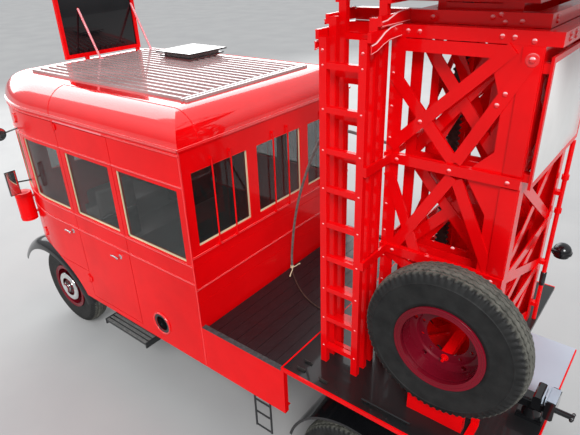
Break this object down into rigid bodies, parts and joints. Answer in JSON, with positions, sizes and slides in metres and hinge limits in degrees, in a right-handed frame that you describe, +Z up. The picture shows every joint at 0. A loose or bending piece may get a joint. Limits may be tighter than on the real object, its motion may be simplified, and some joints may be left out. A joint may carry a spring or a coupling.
{
  "type": "tower wagon",
  "caption": "Crew-cab lorry with a telescoping lattice tower, side ladders and a turning work platform on its rear deck, for work on overhead lines.",
  "frame": {"origin": "centre of the overall length and width, on the ground under the tyres", "axes": "+X forward along the lorry, +Y to its left (nearside), +Z up"},
  "size_m": [6.052, 2.6558, 4.9618],
  "materials": {
    "red_paint": "gloss",
    "maroon_paint": "gloss",
    "black_paint": "gloss",
    "grey_paint": "satin",
    "dark_iron": "satin",
    "dark_wood": "painted, worn",
    "grey_leather": "satin",
    "plate_steel": "matt",
    "black_plastic": "gloss",
    "bright_metal": "polished",
    "window_glass": "clear",
    "tyre_rubber": "matt",
    "grey_rubber": "matt",
    "brown_rubber": "matt"
  },
  "bodies": {
    "chassis": {"base_ladder": "red_paint", "bench_vice": "dark_iron", "cab_floor": "grey_paint", "cab_front": "red_paint", "cab_glass": "window_glass", "cab_rear_wall": "red_paint", "cab_roof": "red_paint", "cab_side_left": "red_paint", "cab_side_right": "red_paint", "chassis_frame": "black_paint", "conduit": "grey_rubber", "corner_canister": "red_paint", "deck_bearers": "black_paint", "deck_cable": "brown_rubber", "deck_side_panels": "red_paint", "engine_block": "dark_iron", "front_axle": "black_paint", "fuel_tank": "black_paint", "lamps": "black_paint", "mirrors": "black_paint", "mudguards": "black_paint", "plank_deck": "dark_wood", "radiator": "bright_metal", "rear_axle": "black_paint", "rear_deck": "black_paint", "roof_board": "red_paint", "roof_fittings": "black_paint", "seats": "grey_leather", "spare_carrier": "red_paint", "spare_tyre": "tyre_rubber", "spare_wheel": "maroon_paint", "steering_wheel": "black_plastic", "steps": "black_paint", "tail_plate": "plate_steel", "tower_base": "red_paint", "warning_board": "red_paint"},
    "middle_door_left": {"middle_door_left": "red_paint", "middle_door_glass_left": "window_glass"},
    "front_door_left": {"front_door_left": "red_paint", "front_door_glass_left": "window_glass"},
    "steering_left": {"steering_knuckle_left": "black_paint"},
    "front_wheel_left": {"front_wheel_left": "maroon_paint", "front_tyre_left": "tyre_rubber"},
    "rear_wheel_left": {"rear_wheel_left": "maroon_paint", "rear_tyre_left": "tyre_rubber"},
    "middle_door_right": {"middle_door_right": "red_paint", "middle_door_glass_right": "window_glass"},
    "front_door_right": {"front_door_right": "red_paint", "front_door_glass_right": "window_glass"},
    "steering_right": {"steering_knuckle_right": "black_paint"},
    "front_wheel_right": {"front_wheel_right": "maroon_paint", "front_tyre_right": "tyre_rubber"},
    "rear_wheel_right": {"rear_wheel_right": "maroon_paint", "rear_tyre_right": "tyre_rubber"},
    "middle_stage": {"middle_stage": "red_paint"},
    "inner_stage": {"inner_stage": "red_paint", "lifting_rack": "dark_iron"},
    "platform": {"platform": "red_paint", "guard_rails": "red_paint"}
  },
  "joints": [
    {"name": "middle_door_left_hinge", "type": "hinge", "parent": "chassis", "child": "middle_door_left", "pos_m": [1.431, 1.151, 1.9], "axis": [0, 0, -1], "range_deg": [0, 70]},
    {"name": "front_door_left_hinge", "type": "hinge", "parent": "chassis", "child": "front_door_left", "pos_m": [2.237, 1.11489, 1.9], "axis": [0, 0, -1], "range_deg": [0, 70]},
    {"name": "middle_door_right_hinge", "type": "hinge", "parent": "chassis", "child": "middle_door_right", "pos_m": [1.431, -1.151, 1.9], "axis": [0, 0, 1], "range_deg": [0, 70]},
    {"name": "front_door_right_hinge", "type": "hinge", "parent": "chassis", "child": "front_door_right", "pos_m": [2.237, -1.11489, 1.9], "axis": [0, 0, 1], "range_deg": [0, 70]},
    {"name": "steer_left", "type": "hinge", "parent": "chassis", "child": "steering_left", "pos_m": [2.466, 0.735, 0.515], "axis": [0, 0, 1], "range_deg": [-28, 28]},
    {"name": "front_wheel_left_spin", "type": "hinge", "parent": "steering_left", "child": "front_wheel_left", "pos_m": [2.466, 0.82, 0.515], "axis": [0, 1, 0], "continuous": true},
    {"name": "rear_wheel_left_spin", "type": "hinge", "parent": "chassis", "child": "rear_wheel_left", "pos_m": [-1.801, 0.905, 0.515], "axis": [0, 1, 0], "continuous": true},
    {"name": "steer_right", "type": "hinge", "parent": "chassis", "child": "steering_right", "pos_m": [2.466, -0.735, 0.515], "axis": [0, 0, 1], "range_deg": [-28, 28]},
    {"name": "front_wheel_right_spin", "type": "hinge", "parent": "steering_right", "child": "front_wheel_right", "pos_m": [2.466, -0.82, 0.515], "axis": [0, 1, 0], "continuous": true},
    {"name": "rear_wheel_right_spin", "type": "hinge", "parent": "chassis", "child": "rear_wheel_right", "pos_m": [-1.801, -0.905, 0.515], "axis": [0, 1, 0], "continuous": true},
    {"name": "middle_lift", "type": "slide", "parent": "chassis", "child": "middle_stage", "axis": [0, 0, 1], "range_m": [0, 2]},
    {"name": "inner_lift", "type": "slide", "parent": "middle_stage", "child": "inner_stage", "axis": [0, 0, 1], "range_m": [0, 2]},
    {"name": "platform_slew", "type": "hinge", "parent": "inner_stage", "child": "platform", "pos_m": [-2.053, 0, 3.96], "axis": [0, 0, 1], "range_deg": [-90, 90]}
  ],
  "couplings": [
    {"joint": "steer_right", "follows": "steer_left", "ratio": 1},
    {"joint": "inner_lift", "follows": "middle_lift", "ratio": 1}
  ]
}
